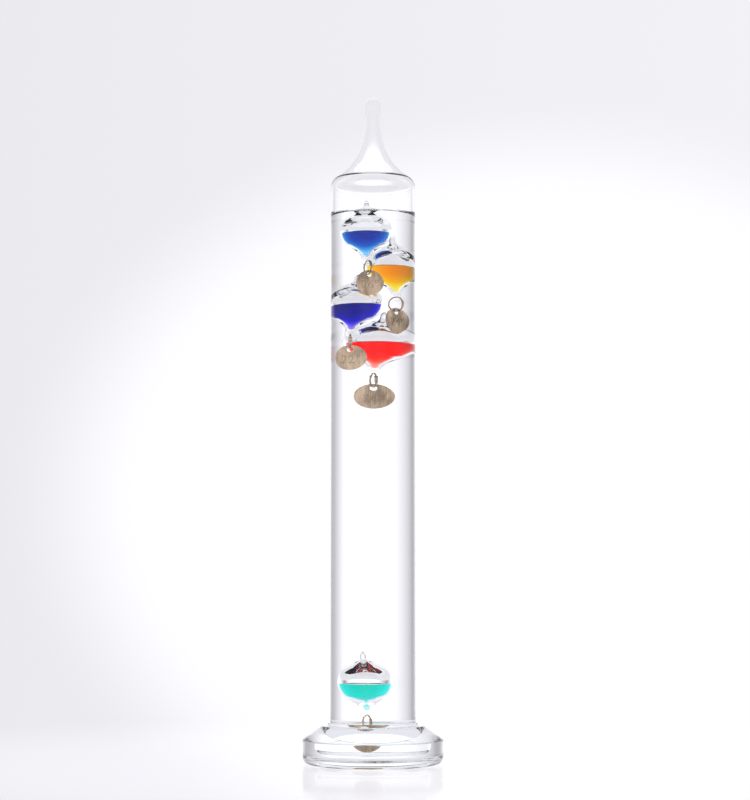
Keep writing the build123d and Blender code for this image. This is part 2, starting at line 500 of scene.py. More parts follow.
@dataclass(frozen=True)
class BrassFinish:
    """Brass with fine brushing along Z, and broad vertical bands that sway its surface and are painted
    lighter and darker into its colour as painted reflections.
    """

    name: str
    # bright and dull are the ends of the colour ramp; the painted reflection bands and the brushing grain run
    # between them.
    bright: tuple[float, float, float]
    dull: tuple[float, float, float]
    roughness: float
    brush_stretch: tuple[float, float, float]
    brush_height: float
    sway_height: float
    sway_and_painted_sheen_stretch: tuple[float, float, float] = (260.0, 260.0, 110.0)

    def material(self) -> bpy.types.Material:
        """Builds the material."""
        nodes = Nodes(self.name)
        metal = nodes.add("BsdfPrincipled", Metallic=1.0)
        brush = nodes.noise(nodes.object_pattern(self.brush_stretch), detail=4.0, roughness=0.6)
        # Broad vertical bands: they sway the surface, and they also paint light and dark reflection bands
        # into the colour.
        sway_and_painted_sheen = nodes.noise(nodes.object_pattern(self.sway_and_painted_sheen_stretch), detail=3.0, roughness=0.55)
        blend = nodes.add("Math", operation="MULTIPLY_ADD")
        nodes.link(brush, blend.inputs[0])
        blend.inputs[1].default_value = 0.5
        nodes.link(sway_and_painted_sheen, blend.inputs[2])
        # Painted reflection: the broad bands swing the colour between dull and bright, standing in for light
        # and dark reflections; the fine streaks are brushing grain.
        colour = nodes.ramp(
            blend.outputs[0],
            [(0.62, (*self.dull, 1.0)), (0.88, (*self.bright, 1.0))],
        )
        nodes.link(colour, metal.inputs["Base Color"])
        rough = nodes.add("MapRange")
        nodes.link(blend.outputs[0], rough.inputs["Value"])
        rough.inputs["From Min"].default_value = 0.4
        rough.inputs["From Max"].default_value = 1.1
        rough.inputs["To Min"].default_value = self.roughness + 0.12
        rough.inputs["To Max"].default_value = self.roughness - 0.05
        nodes.link(rough.outputs[0], metal.inputs["Roughness"])
        fine = nodes.bump(brush, 0.6, self.brush_height)
        nodes.link(nodes.bump(sway_and_painted_sheen, 1.0, self.sway_height), fine.node.inputs["Normal"])
        nodes.link(fine, metal.inputs["Normal"])
        return nodes.finish(metal)


@dataclass(frozen=True)
class FloorFinish:
    """Pale acrylic table, lit evenly from below, with a soft gloss; it fades out far from the object."""

    name: str = "white_table"
    gloss: float = 0.2
    roughness: float = 0.1
    solid_radius: float = 0.1
    fade_radius: float = 0.3

    def material(self) -> bpy.types.Material:
        """Builds the material."""
        nodes = Nodes(self.name)
        gloss = nodes.add("BsdfGlossy", Roughness=self.roughness, Color=(1.0, 1.0, 1.0, 1.0))
        through = nodes.add("BsdfTransparent")
        where = nodes.add("TexCoord")
        length = nodes.add("VectorMath", operation="LENGTH")
        nodes.link(where.outputs["Object"], length.inputs[0])
        fade = nodes.add("MapRange", interpolation_type="SMOOTHSTEP")
        fade.inputs["From Min"].default_value = self.solid_radius
        fade.inputs["From Max"].default_value = self.fade_radius
        fade.inputs["To Min"].default_value = self.gloss
        fade.inputs["To Max"].default_value = 0.0
        nodes.link(length.outputs["Value"], fade.inputs["Value"])
        mix = nodes.add("MixShader")
        nodes.link(fade.outputs[0], mix.inputs[0])
        nodes.link(through.outputs[0], mix.inputs[1])
        nodes.link(gloss.outputs[0], mix.inputs[2])
        return nodes.finish(mix)


# ---------------------------------------------------------------- pieces


def reach(node: str) -> tuple[Vector, Vector]:
    """Lowest and highest corner of a CAD node, in millimetres."""
    low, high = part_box(node)
    return low / MM, high / MM


def joint(name: str) -> tuple[Vector, Vector]:
    """Point in millimetres and axis of a joint of the frame."""
    found = next(j for j in frame["joints"] if j["name"] == name)
    return Vector(found["pos_m"]) / MM, Vector(found["axis"]).normalized()


@dataclass
class Vessel:
    """Sealed glass column: round bottom, straight wall, shoulder and drawn-out tip."""

    wall: float = 1.6
    bottom_thickness: float = 1.7
    corner: float = 4.0
    shoulder_height: float = 241.0
    shoulder_radius: float = 5.0
    shoulder_turn: float = 55.0
    tip_radius: float = 3.15
    tip_wall: float = 0.95
    neck: tuple[Point, ...] = ((10.0, 249.9), (7.2, 254.1), (5.3, 258.7), (3.75, 266.7))
    segments: int = 192
    radius: float = field(init=False)
    bottom: float = field(init=False)
    top: float = field(init=False)

    def __post_init__(self) -> None:
        """Reads the overall sizes from the frame."""
        low, high = reach("glass_tube")
        self.radius = (high.x - low.x) / 2
        self.bottom, self.top = low.z, high.z

    @property
    def bore(self) -> float:
        """Inner radius."""
        return self.radius - self.wall

    @property
    def floor(self) -> float:
        """Height of the inside bottom."""
        return self.bottom + self.bottom_thickness

    def neck_start(self, wall: float) -> Point:
        """Where the shoulder's round ends, for the outside or at a depth in the wall."""
        turn = math.radians(self.shoulder_turn)
        round_radius = self.shoulder_radius - wall
        centre = self.radius - self.shoulder_radius
        return (centre + round_radius * math.cos(turn), self.shoulder_height + round_radius * math.sin(turn))

    def neck_line(self, outline: Outline, wall: float, tip_wall: float, pieces: int) -> Outline:
        """Adds the neck from the shoulder to the tip.

        Args:
            outline: Outline that has reached the end of the shoulder.
            wall: Depth below the outside at the shoulder.
            tip_wall: Depth below the outside at the tip.
            pieces: Number of parts between two points.

        Returns:
            The outline.
        """
        turn = math.radians(self.shoulder_turn)
        direction = (-math.sin(turn), math.cos(turn))
        tip = self.top - self.tip_radius
        points = [self.neck_start(0.0), *self.neck, (self.tip_radius, tip)]
        moved = []
        for i in range(1, len(points) - 1):
            along = (Vector(points[i + 1]) - Vector(points[i - 1])).normalized()
            depth = wall + (tip_wall - wall) * i / (len(points) - 1)
            moved.append((points[i][0] - along.y * depth, points[i][1] + along.x * depth))
        moved.append((self.tip_radius - tip_wall, tip))
        return outline.flow(direction, moved, (0.0, 1.0), pieces)

    def surface(self, wall: float, tip_wall: float, floor: float, contact: float | None) -> Outline:
        """Half outline of the outside, or of the inside at a depth in the wall.

        Args:
            wall: Depth below the outside along the tube.
            tip_wall: Depth below the outside at the tip.
            floor: Height of the surface's lowest point.
            contact: Height of a ring on the straight wall, if one is needed.

        Returns:
            The outline.
        """
        radius = self.radius - wall
        corner = self.corner - wall
        tip = self.top - self.tip_radius
        outline = Outline(0.0, floor).line(radius - corner, floor, 6)
        outline.arc((radius - corner, floor + corner), corner, -90, 0, 12)
        if contact:
            outline.line(radius, contact, 12)
        outline.line(radius, self.shoulder_height, 6)
        centre = (self.radius - self.shoulder_radius, self.shoulder_height)
        outline.arc(centre, self.shoulder_radius - wall, 0, self.shoulder_turn, 16)
        self.neck_line(outline, wall, tip_wall, 12)
        return outline.arc((0.0, tip), self.tip_radius - tip_wall, 0, 90, 14)

    def build(self, foot_top: float, contact: float) -> bpy.types.Object:
        """Turns the outside and inside and dresses them.

        Args:
            foot_top: Height up to which the tube is bonded into the foot.
            contact: Height where the liquid meets the wall.

        Returns:
            The piece.
        """
        outside = lathe("vessel_outside", self.surface(0.0, 0.0, self.bottom, foot_top), self.segments)
        inside_line = self.surface(self.wall, self.tip_wall, self.floor, contact)
        inside = lathe("vessel_inside", inside_line, self.segments, inward=True)
        vessel = join("vessel", inside, outside)
        smooth(vessel, 60.0)
        middle = self.radius - self.wall / 2

        def choose(centre: Vector, normal: Vector) -> int:
            """Slot by which side the face is on and what lies beyond it."""
            radial = math.hypot(centre.x, centre.y)
            inner = normal.x * centre.x + normal.y * centre.y < 0 and radial < middle
            if centre.z < self.floor + self.corner and radial < self.radius - self.corner:
                inner = normal.z > 0
            if inner:
                return 2 if centre.z < contact else 1
            return 3 if centre.z < foot_top else 0

        finishes = [
            ClearFinish("vessel_glass", Medium.GLASS, Medium.AIR, 8e-6, (55.0, 55.0, 5.0)),
            ClearFinish("vessel_glass_inner", Medium.GLASS, Medium.AIR, 8e-6, (70.0, 70.0, 6.0)),
            ClearFinish("vessel_glass_wetted", Medium.GLASS, Medium.LIQUID),
            ClearFinish("vessel_glass_bonded", Medium.GLASS, Medium.GLASS),
        ]
        dress(vessel, [finish.material() for finish in finishes], choose)
        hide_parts("glass_tube")
        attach(vessel, "vessel")
        log.info("vessel: %d faces", len(vessel.data.polygons))
        return vessel


@dataclass
class Foot:
    """Solid glass foot with its socket, and the clear bond between it and the tube."""

    rim_height: float = 10.1
    top_radius: float = 21.2
    under_edge: float = 3.0
    rim_edge: float = 1.2
    top_edge: float = 1.5
    bond_thickness: float = 0.2
    bead_width: float = 1.3
    bead_height: float = 1.2
    gap: float = 0.02
    segments: int = 192
    radius: float = field(init=False)
    top: float = field(init=False)

    def __post_init__(self) -> None:
        """Reads the overall sizes from the frame."""
        low, high = reach("glass_base")
        self.radius = (high.x - low.x) / 2
        self.top = high.z

    def rounded(self, outline: Outline, corner: Point, before: Point, after: Point, edge: float) -> None:
        """Adds a corner rounded by an arc.

        Args:
            outline: Outline so far.
            corner: Corner point.
            before: A point that the outline comes from.
            after: A point that it goes to.
            edge: Radius of the rounding.
        """
        here = Vector(corner)
        back = (Vector(before) - here).normalized()
        ahead = (Vector(after) - here).normalized()
        half = back.angle(ahead) / 2
        reach_back = edge / math.tan(half)
        centre = here + (back + ahead).normalized() * edge / math.sin(half)
        first, last = here + back * reach_back, here + ahead * reach_back
        start = math.degrees(math.atan2(first.y - centre.y, first.x - centre.x))
        end = math.degrees(math.atan2(last.y - centre.y, last.x - centre.x))
        outline.line(first.x, first.y, 2)
        outline.arc((centre.x, centre.y), edge, start, end, 10)

    def build(self, vessel: Vessel) -> list[bpy.types.Object]:
        """Builds the foot and its bond.

        Args:
            vessel: The vessel that stands in the foot.

        Returns:
            The two pieces.
        """
        socket_radius = vessel.radius + self.bond_thickness
        corner = vessel.corner + self.bond_thickness
        socket_floor = vessel.bottom - self.bond_thickness
        low, rim = (self.radius, 0.0), (self.radius, self.rim_height)
        brow = (self.top_radius, self.top)
        outline = Outline(0.0, 0.0).line(self.radius / 2, 0.0, 4)
        self.rounded(outline, low, (0.0, 0.0), rim, self.under_edge)
        self.rounded(outline, rim, low, brow, self.rim_edge)
        self.rounded(outline, brow, rim, (0.0, self.top), self.top_edge)
        outline.line(socket_radius, self.top, 2)
        outline.line(socket_radius, socket_floor + corner, 4)
        outline.arc((socket_radius - corner, socket_floor + corner), corner, 0, -90, 8)
        outline.line(0.0, socket_floor, 4)
        foot = lathe("foot", outline, self.segments)
        smooth(foot, 40.0)

        def in_socket(centre: Vector, normal: Vector) -> int:
            """Slot 1 for the faces of the socket, which the bond fills."""
            radial = math.hypot(centre.x, centre.y)
            return 1 if radial < socket_radius + 0.01 and centre.z > socket_floor - 0.01 else 0

        finishes = [
            ClearFinish("foot_glass", Medium.GLASS, Medium.AIR, 1.2e-5, (45.0, 45.0, 60.0)),
            ClearFinish("foot_glass_bonded", Medium.GLASS, Medium.GLASS),
        ]
        dress(foot, [finish.material() for finish in finishes], in_socket)
        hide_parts("glass_base")
        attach(foot, "vessel")
        log.info("foot: %d faces", len(foot.data.polygons))
        return [foot, self.build_bond(vessel)]

    def build_bond(self, vessel: Vessel) -> bpy.types.Object:
        """Builds the thin film of bond with its bead, a little clear of both glasses."""
        near = vessel.radius + self.gap
        far = vessel.radius + self.bond_thickness - self.gap
        bottom = vessel.bottom - self.bond_thickness + self.gap
        under = vessel.bottom - self.gap
        corner = vessel.corner
        bead_top = self.top + self.bead_height
        outline = Outline(0.0, bottom).line(near - corner, bottom, 3)
        outline.arc((near - corner, bottom + corner + far - near), corner + far - near, -90, 0, 8)
        outline.line(far, self.top + self.gap, 4)
        outline.line(vessel.radius + self.bead_width, self.top + self.gap, 2)
        belly = (vessel.radius + self.bead_width * 0.72, self.top + self.bead_height * 0.62)
        outline.flow((0.0, 1.0), [belly, (near + 0.05, bead_top)], (-1.0, 0.25), 6)
        outline.line(near, bead_top - 0.03)
        outline.line(near, under + corner, 6)
        outline.arc((near - corner, under + corner), corner, 0, -90, 8)
        outline.line(0.0, under, 3)
        bond = lathe("foot_bond", outline, self.segments)
        smooth(bond, 50.0)
        top = self.top

        def open_to_air(centre: Vector, normal: Vector) -> int:
            """Slot 0 for the bead's free surface."""
            outward = normal.x * centre.x + normal.y * centre.y > 0
            return 0 if centre.z > top + 0.03 and (outward or normal.z > 0.3) else 1

        finishes = [
            ClearFinish("bond_bead", Medium.GLASS, Medium.AIR, 1e-5, (300.0, 300.0, 300.0)),
            ClearFinish("bond_film", Medium.GLASS, Medium.GLASS),
        ]
        dress(bond, [finish.material() for finish in finishes], open_to_air)
        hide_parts("base_bond")
        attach(bond, "vessel")
        log.info("foot_bond: %d faces", len(bond.data.polygons))
        return bond


@dataclass
class Filling:
    """Clear liquid in the vessel, with its surface drawn up at the wall."""

    rise: float = 1.8
    rise_width: float = 1.6
    rim_steps: int = 18
    rim_spacing: float = 1.6
    rim_curve: int = 4
    gap: float = 0.02
    segments: int = 192
    contact: float = field(init=False)

    def __post_init__(self) -> None:
        """Reads the height of the liquid's rim from the frame."""
        self.contact = reach("fill_liquid")[1].z

    @property
    def level(self) -> float:
        """Height of the flat part of the surface."""
        return self.contact - self.rise

    def build(self, vessel: Vessel, parting: bpy.types.Object) -> bpy.types.Object:
        """Builds the liquid.

        Args:
            vessel: The vessel that it fills.
            parting: Shape of the float that breaks the surface, which is used up.

        Returns:
            The piece.
        """
        radius = vessel.bore - self.gap
        corner = vessel.corner - vessel.wall
        floor = vessel.floor + self.gap
        outline = Outline(0.0, floor).line(radius - corner, floor, 6)
        outline.arc((radius - corner, floor + corner), corner, -90, 0, 12)
        outline.line(radius, self.contact - self.gap, 12)
        for i in range(1, self.rim_steps + 1):
            t = (i / self.rim_steps) ** self.rim_spacing
            height = self.level + (self.rise - self.gap) * (1 - t) ** self.rim_curve
            outline.line(radius - self.rise_width * t, height)
        outline.line(0.0, self.level, 8)
        liquid = lathe("liquid", outline, self.segments)
        cut(liquid, parting)
        smooth(liquid, 35.0)
        level = self.level

        def open_top(centre: Vector, normal: Vector) -> int:
            """Slot 0 for the free surface."""
            return 0 if centre.z > level - 0.01 and normal.z > 0.05 else 1

        finishes = [
            ClearFinish("liquid_surface", Medium.LIQUID, Medium.AIR),
            ClearFinish("liquid_body", Medium.LIQUID, Medium.LIQUID),
        ]
        dress(liquid, [finish.material() for finish in finishes], open_top)
        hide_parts("fill_liquid")
        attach(liquid, "vessel")
        log.info("liquid: %d faces", len(liquid.data.polygons))
        return liquid


@dataclass
class BulbMould:
    """Shape of one blown float, upright and centred on its round body, from which all five are copied."""

    radius: float = 8.6
    nib_top: float = 13.6
    nib_tip_radius: float = 0.95
    nib_root: Point = (1.5, 9.3)
    nib_flare: float = 31.0
    nip_bottom: float = -12.0
    nip_radius: float = 1.6
    nip_root: Point = (2.7, -9.2)
    nip_flare: float = 42.0
    cavity_radius: float = 8.15
    cavity_top: float = 12.7
    cavity_neck: tuple[Point, ...] = ((5.7, 5.35), (3.5, 6.8), (1.85, 8.15), (1.02, 9.5), (0.62, 12.0))
    cavity_flare_angle: float = 63.0
    cavity_bottom_flare: Point = (4.1, -6.6)
    cavity_bottom_angle: float = 52.0
    waist_height: float = -8.6
    tail_radius: float = 1.15
    tail_height: float = -10.2
    eye_height: float = -13.2
    eye_radius: float = 1.9
    eye_hole: float = 0.85
    eye_thickness: float = 1.2
    segments: int = 128

    def outside(self, grow: float = 0.0) -> Outline:
        """Half outline of the glass from the nip to the nib, grown outward by a little if asked."""
        radius = self.radius + grow
        outline = Outline(0.0, self.nip_bottom - grow)
        outline.line(self.nip_radius + grow, self.nip_bottom - grow, 3)
        low = math.radians(self.nip_flare - 90)
        foot = (radius * math.cos(low), radius * math.sin(low))
        root = (self.nip_root[0] + grow, self.nip_root[1])
        outline.flow((0.0, 1.0), [root, foot], (-math.sin(low), math.cos(low)), 8)
        high = 90 - self.nib_flare
        outline.arc((0.0, 0.0), radius, self.nip_flare - 90, high, 36)
        turn = math.radians(high)
        shoulder = self.nib_top - self.nib_tip_radius
        rise = [(self.nib_root[0] + grow, self.nib_root[1]), (self.nib_tip_radius + grow, shoulder)]
        outline.flow((-math.sin(turn), math.cos(turn)), rise, (0.0, 1.0), 9)
        return outline.arc((0.0, shoulder), self.nib_tip_radius + grow, 0, 90, 8)

    @property
    def cavity_flare_height(self) -> float:
        """Height where the hollow leaves its round and draws in towards the nib."""
        return self.cavity_radius * math.cos(math.radians(self.cavity_flare_angle))

    @property
    def tail_bottom(self) -> float:
        """Height of the hollow's lowest point."""
        return self.tail_height - self.tail_radius

    def inside(self, waist: float, shrink: float = 0.0) -> Outline:
        """Half outline of the hollow.

        Args:
            waist: Radius of the hollow where it narrows into the nip.
            shrink: How far it is drawn in all over.

        Returns:
            The outline.
        """
        radius = self.cavity_radius - shrink
        tail = self.tail_radius - shrink
        outline = Outline(0.0, self.tail_height - tail)
        outline.arc((0.0, self.tail_height), tail, -90, 0, 8)
        low = math.radians(self.cavity_bottom_angle - 90)
        foot = (radius * math.cos(low), radius * math.sin(low))
        flare = (self.cavity_bottom_flare[0] - shrink, self.cavity_bottom_flare[1] + shrink)
        through = [(waist - shrink, self.waist_height), flare, foot]
        outline.flow((0.0, 1.0), through, (-math.sin(low), math.cos(low)), 9)
        high = 90 - self.cavity_flare_angle
        outline.arc((0.0, 0.0), radius, self.cavity_bottom_angle - 90, high, 28)
        turn = math.radians(high)
        rise = [(point[0] - shrink, point[1]) for point in self.cavity_neck]
        rise.append((0.0, self.cavity_top - shrink))
        return outline.flow((-math.sin(turn), math.cos(turn)), rise, (-1.0, 0.0), 8)

    def eye(self) -> bpy.types.Object:
        """Rounded glass loop under the nip, its hole along Y."""
        middle = (self.eye_radius + self.eye_hole) / 2
        half_width = (self.eye_radius - self.eye_hole) / 2
        deselect()
        bpy.ops.mesh.primitive_circle_add(
            vertices=20,
            radius=half_width * MM,
            location=(middle * MM, 0.0, self.eye_height * MM),
            fill_type="NOTHING",
        )
        loop = bpy.context.object
        loop.name = "eye"
        take(loop)
        bpy.ops.object.transform_apply(location=True, rotation=True, scale=True)
        edit(loop)
        stretch = self.eye_thickness / 2 / half_width
        bpy.ops.transform.resize(value=(1.0, stretch, 1.0))
        bpy.ops.mesh.spin(
            steps=48,
            angle=math.tau,
            center=(0.0, 0.0, self.eye_height * MM),
            axis=(0.0, 1.0, 0.0),
        )
        bpy.ops.mesh.select_all(action="SELECT")
        bpy.ops.mesh.remove_doubles(threshold=MERGE_DISTANCE * 20)
        bpy.ops.mesh.normals_make_consistent(inside=False)
        close_edit()
        return loop

    def glass(self) -> bpy.types.Object:
        """Outside of one bulb with its eye."""
        outside = lathe("bulb_outside", self.outside(), self.segments)
        cut(outside, self.eye(), "UNION")
        return outside


class Colour(Enum):
    """Colours of the five floats."""

    LIGHT_BLUE = "light_blue"
    AMBER = "amber"
    VIOLET = "violet"
    RED = "red"
    GREEN = "green"


# Steps across the dye's free surface, from the glass inwards: share of the width kept, fall in millimetres.
DISH_STEPS = ((0.985, 0.14), (0.96, 0.11), (0.92, 0.07), (0.86, 0.03))


@dataclass(frozen=True)
class Recipe:
    """What sets one float apart: stamped temperature, dye, how full it is and its narrowest hollow."""

    float_colour: Colour
    degrees: int
    colour: tuple[float, float, float]
    density: float
    dye_level: float
    waist: float = 2.1


RECIPES = (
    Recipe(Colour.LIGHT_BLUE, 26, (0.05, 0.62, 0.875), 700.0, -0.8),
    Recipe(Colour.AMBER, 24, (0.985, 0.895, 0.0), 900.0, -0.2),
    Recipe(Colour.VIOLET, 22, (0.19, 0.06, 0.88), 900.0, -0.4),
    Recipe(Colour.RED, 20, (1.0, 0.24, 0.10), 800.0, -0.3),
    Recipe(Colour.GREEN, 18, (0.06, 0.935, 0.905), 600.0, -0.5, 0.5),
)


@dataclass
class FloatSet:
    """One float with its dye, wire ring and weight tag, hung where the frame has them."""

    recipe: Recipe
    mould: BulbMould
    ring_drop: float = 0.1
    wire_radius: float = 0.25
    tag_radius: float = 5.2
    tag_thickness: float = 0.35
    hole_radius: float = 1.0
    hole_offset: float = 3.4
    tag_drop: float = 0.5
    stamp_depth: float = 0.11
    figure_size: float = 4.8
    figure_place: Point = (0.15, -0.9)
    tag_edge: float = 0.07
    lap: float = 62.0
    lap_start: float = 150.0
    bend_steps: int = 84
    wire_sides: int = 12
    hinge: Vector = field(init=False)
    tag_hinge: Vector = field(init=False)
    along: Vector = field(init=False)

    def __post_init__(self) -> None:
        """Reads the hinges from the frame."""
        self.hinge, self.along = joint(f"{self.name}_ring_swing")
        self.tag_hinge, _ = joint(f"{self.name}_tag_swing")

    @property
    def ring_radius(self) -> float:
        """Radius of the ring to the middle of its wire, half the way between its two hinges."""
        return (self.tag_hinge - self.hinge).length / 2

    @property
    def name(self) -> str:
        """Name of the float, as in the frame."""
        return self.recipe.float_colour.value

    @property
    def centre(self) -> Vector:
        """Centre of the round body, from the bulb's box and the place of its eye."""
        low, high = reach(f"{self.name}_bulb")
        middle = (low + high) / 2
        eye = self.hinge + UP * self.ring_drop
        side = math.hypot(middle.x - eye.x, middle.y - eye.y)
        rise = math.sqrt(self.mould.eye_height**2 - side**2)
        return Vector((middle.x, middle.y, eye.z + rise))

    def body_place(self) -> Matrix:
        """Placement of the bulb: upright axis leant, hole of the eye along the hinge."""
        centre = self.centre
        eye = self.hinge + UP * self.ring_drop
        axis = (centre - eye).normalized()
        across = self.along.cross(axis).normalized()
        ahead = axis.cross(across)
        turn = Matrix((across, ahead, axis)).transposed().to_4x4()
        return Matrix.Translation(centre * MM) @ turn

    def ring_place(self) -> Matrix:
        """Placement of the ring between its hinges, with its axis along X."""
        up = (self.hinge - self.tag_hinge).normalized()
        across = self.along.cross(UP)
        turn = Matrix((across, up.cross(across), up)).transposed().to_4x4()
        return Matrix.Translation((self.hinge + self.tag_hinge) / 2 * MM) @ turn

    def tag_place(self) -> Matrix:
        """Placement of the tag straight below its hinge, with its axis along Y."""
        across = self.along.cross(UP)
        turn = Matrix((across, self.along, UP)).transposed().to_4x4()
        return Matrix.Translation((self.tag_hinge - UP * (self.tag_drop + self.hole_offset)) * MM) @ turn

    def build_bulb(self, master: bpy.types.Object, level: float) -> bpy.types.Object:
        """Copies the bulb, places it and dresses its faces by what is beyond them.

        Args:
            master: The bulb that is copied.
            level: Height of the liquid outside, in millimetres.

        Returns:
            The piece.
        """
        hollow = lathe("bulb_hollow", self.mould.inside(self.recipe.waist), self.mould.segments, inward=True)
        bulb = join(f"{self.name}_float", hollow, copy_of(master, "bulb_outside_copy"))
        settle(bulb, self.body_place())
        dye_level = self.centre.z + self.recipe.dye_level
        slice_level(bulb, dye_level * MM)
        slice_level(bulb, level * MM)
        smooth(bulb, 50.0)
        back = self.body_place().inverted()
        mould = self.mould
        slack = 0.05

        def choose(centre: Vector, normal: Vector) -> int:
            """Slot by side of the glass and what lies beyond."""
            local = (back @ (centre * MM)) / MM
            core = Vector((0.0, 0.0, max(min(local.z, mould.cavity_flare_height), mould.tail_height)))
            facing_in = (back.to_3x3() @ normal).dot(local - core) < 0
            inner = facing_in and mould.tail_bottom - slack < local.z < mould.cavity_top + slack
            if inner:
                return 2 if centre.z < dye_level else 1
            return 3 if centre.z > level else 0

        glass = f"{self.name}_glass"
        finishes = [
            ClearFinish(glass, Medium.BULB_GLASS, Medium.LIQUID),
            ClearFinish(f"{glass}_inner", Medium.BULB_GLASS, Medium.AIR),
            ClearFinish(f"{glass}_wetted", Medium.BULB_GLASS, Medium.DYED_WATER),
            ClearFinish(f"{glass}_dry", Medium.BULB_GLASS, Medium.AIR),
        ]
        dress(bulb, [finish.material() for finish in finishes], choose)
        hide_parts(f"{self.name}_bulb")
        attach(bulb, f"{self.name}_float")
        return bulb

    def build_dye(self) -> bpy.types.Object:
        """Fills the hollow with dyed water up to a level, drawn up a little at the glass."""
        level = self.centre.z + self.recipe.dye_level
        dye = lathe(f"{self.name}_water", self.mould.inside(self.recipe.waist, 0.015), self.mould.segments)
        settle(dye, self.body_place())
        slice_level(dye, level * MM, keep_below=True)
        edit(dye)
        bpy.ops.mesh.select_all(action="DESELECT")
        close_edit()
        for face in dye.data.polygons:
            face.select = face.normal.z > 0.99 and face.center.z > (level - 0.01) * MM
        take(dye)
        bpy.ops.object.mode_set(mode="EDIT")
        for share, fall in DISH_STEPS:
            bpy.ops.mesh.extrude_region_move(TRANSFORM_OT_translate={"value": (0.0, 0.0, -fall * MM)})
            bpy.ops.transform.resize(value=(share, share, 1.0), center_override=tuple(self.centre * MM))
        close_edit()
        smooth(dye, 50.0)
        finishes = [
            DyeFinish(f"{self.name}_dye_body", self.recipe.colour, self.recipe.density, Medium.DYED_WATER),
            DyeFinish(f"{self.name}_dye_top", self.recipe.colour, self.recipe.density, Medium.AIR),
        ]
        limit = level - sum(fall for _, fall in DISH_STEPS) - 0.02

        def top_face(centre: Vector, normal: Vector) -> int:
            """Slot 1 for the free surface."""
            return 1 if normal.z > 0.6 and centre.z > limit else 0

        dress(dye, [finish.material() for finish in finishes], top_face)
        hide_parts(f"{self.name}_dye")
        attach(dye, f"{self.name}_float")
        return dye

    def build_ring(self, finish: bpy.types.Material) -> bpy.types.Object:
        """Bends the wire ring, with its two ends lapped side by side."""
        lap, steps, first = self.lap, self.bend_steps, self.lap_start
        total = 360.0 + lap
        shift = self.wire_radius * 1.04
        deselect()
        bpy.ops.mesh.primitive_circle_add(
            vertices=self.wire_sides, radius=self.wire_radius * MM, fill_type="NGON"
        )
        ring = bpy.context.object
        ring.name = f"{self.name}_wire_ring"
        ring.data.name = ring.name

        def spot(angle: float, turned: float) -> Vector:
            """Centre of the wire at an angle of the ring, in the ring's own frame, in metres."""
            side = 0.0
            if turned < lap:
                side = -shift * (1 - smoothstep((turned - lap * 0.7) / (lap * 0.3)))
            elif turned > 360.0:
                side = shift * smoothstep((turned - 360.0 + lap * 0.3) / (lap * 0.3))
            across = Vector((side, 0.0, 0.0))
            turn = math.radians(angle)
            return (across + Vector((0.0, math.cos(turn), math.sin(turn))) * self.ring_radius) * MM

        begin = spot(first, 0.0)
        facing = Matrix.Rotation(math.radians(first), 4, "X")
        settle(ring, Matrix.Translation(begin) @ facing)
        edit(ring)
        here = begin
        for i in range(1, steps + 1):
            turned = total * i / steps
            there = spot(first + turned, turned)
            bpy.ops.mesh.extrude_region_move(TRANSFORM_OT_translate={"value": tuple(there - here)})
            bpy.ops.transform.rotate(
                value=-math.radians(total / steps),
                orient_axis="X",
                orient_type="GLOBAL",
                center_override=tuple(there),
            )
            here = there
        bpy.ops.mesh.select_all(action="SELECT")
        bpy.ops.mesh.normals_make_consistent(inside=False)
        close_edit()
        smooth(ring, 50.0)
        settle(ring, self.ring_place())
        dress(ring, [finish], lambda centre, normal: 0)
        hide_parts(f"{self.name}_ring")
        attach(ring, f"{self.name}_ring")
        return ring

    def stamp(self) -> bpy.types.Object:
        """Solid figures of the temperature, to be pressed into the tag's front."""
        deselect()
        bpy.ops.object.text_add()
        text = bpy.context.object
        text.data.body = f"{self.recipe.degrees}°"
        text.data.align_x = "CENTER"
        text.data.align_y = "CENTER"
        text.data.size = self.figure_size * MM
        text.data.extrude = self.stamp_depth * MM
        text.data.resolution_u = 4
        take(text)
        bpy.ops.object.convert(target="MESH")
        figures = bpy.context.object
        edit(figures)
        bpy.ops.mesh.remove_doubles(threshold=MERGE_DISTANCE * 10)
        bpy.ops.mesh.normals_make_consistent(inside=False)
        close_edit()
        aside, lift = self.figure_place
        front = Matrix.Translation((aside * MM, -self.tag_thickness / 2 * MM, lift * MM))
        settle(figures, front @ Matrix.Rotation(math.pi / 2, 4, "X"))
        return figures

    def build_tag(self, finish: bpy.types.Material, sunk_finish: bpy.types.Material) -> bpy.types.Object:
        """Punches the round tag, rounds its edges and stamps its temperature.

        Args:
            finish: Finish of the tag.
            sunk_finish: Finish of the stamped figures.

        Returns:
            The piece.
        """
        tag = disc(f"{self.name}_weight_tag", self.tag_radius, self.tag_thickness, 0.0, 96)
        punch = disc("punch", self.hole_radius, self.tag_thickness * 3, self.hole_offset, 40)
        cut(tag, punch)
        take(tag)
        bevel = tag.modifiers.new("edges", "BEVEL")
        bevel.width = self.tag_edge * MM
        bevel.segments = 3
        bevel.limit_method = "ANGLE"
        bpy.ops.object.modifier_apply(modifier=bevel.name)
        cut(tag, self.stamp())
        edit(tag)
        bpy.ops.mesh.remove_doubles(threshold=MERGE_DISTANCE * 20)
        bpy.ops.mesh.dissolve_degenerate(threshold=MERGE_DISTANCE * 20)
        close_edit()
        smooth(tag, 30.0)
        place = self.tag_place()
        settle(tag, place)
        back = place.inverted()
        skin = self.tag_thickness / 2 - 0.03

        def stamped(centre: Vector, normal: Vector) -> int:
            """Slot 1 for the sunk faces of the figures."""
            local = (back @ (centre * MM)) / MM
            from_hole = math.hypot(local.x, local.z - self.hole_offset)
            from_middle = math.hypot(local.x, local.z)
            sunk = -skin < local.y < 0.0 and from_hole > self.hole_radius + 0.2
            return 1 if sunk and from_middle < self.tag_radius - 0.4 else 0

        dress(tag, [finish, sunk_finish], stamped)
        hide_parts(f"{self.name}_tag")
        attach(tag, f"{self.name}_tag")
        return tag

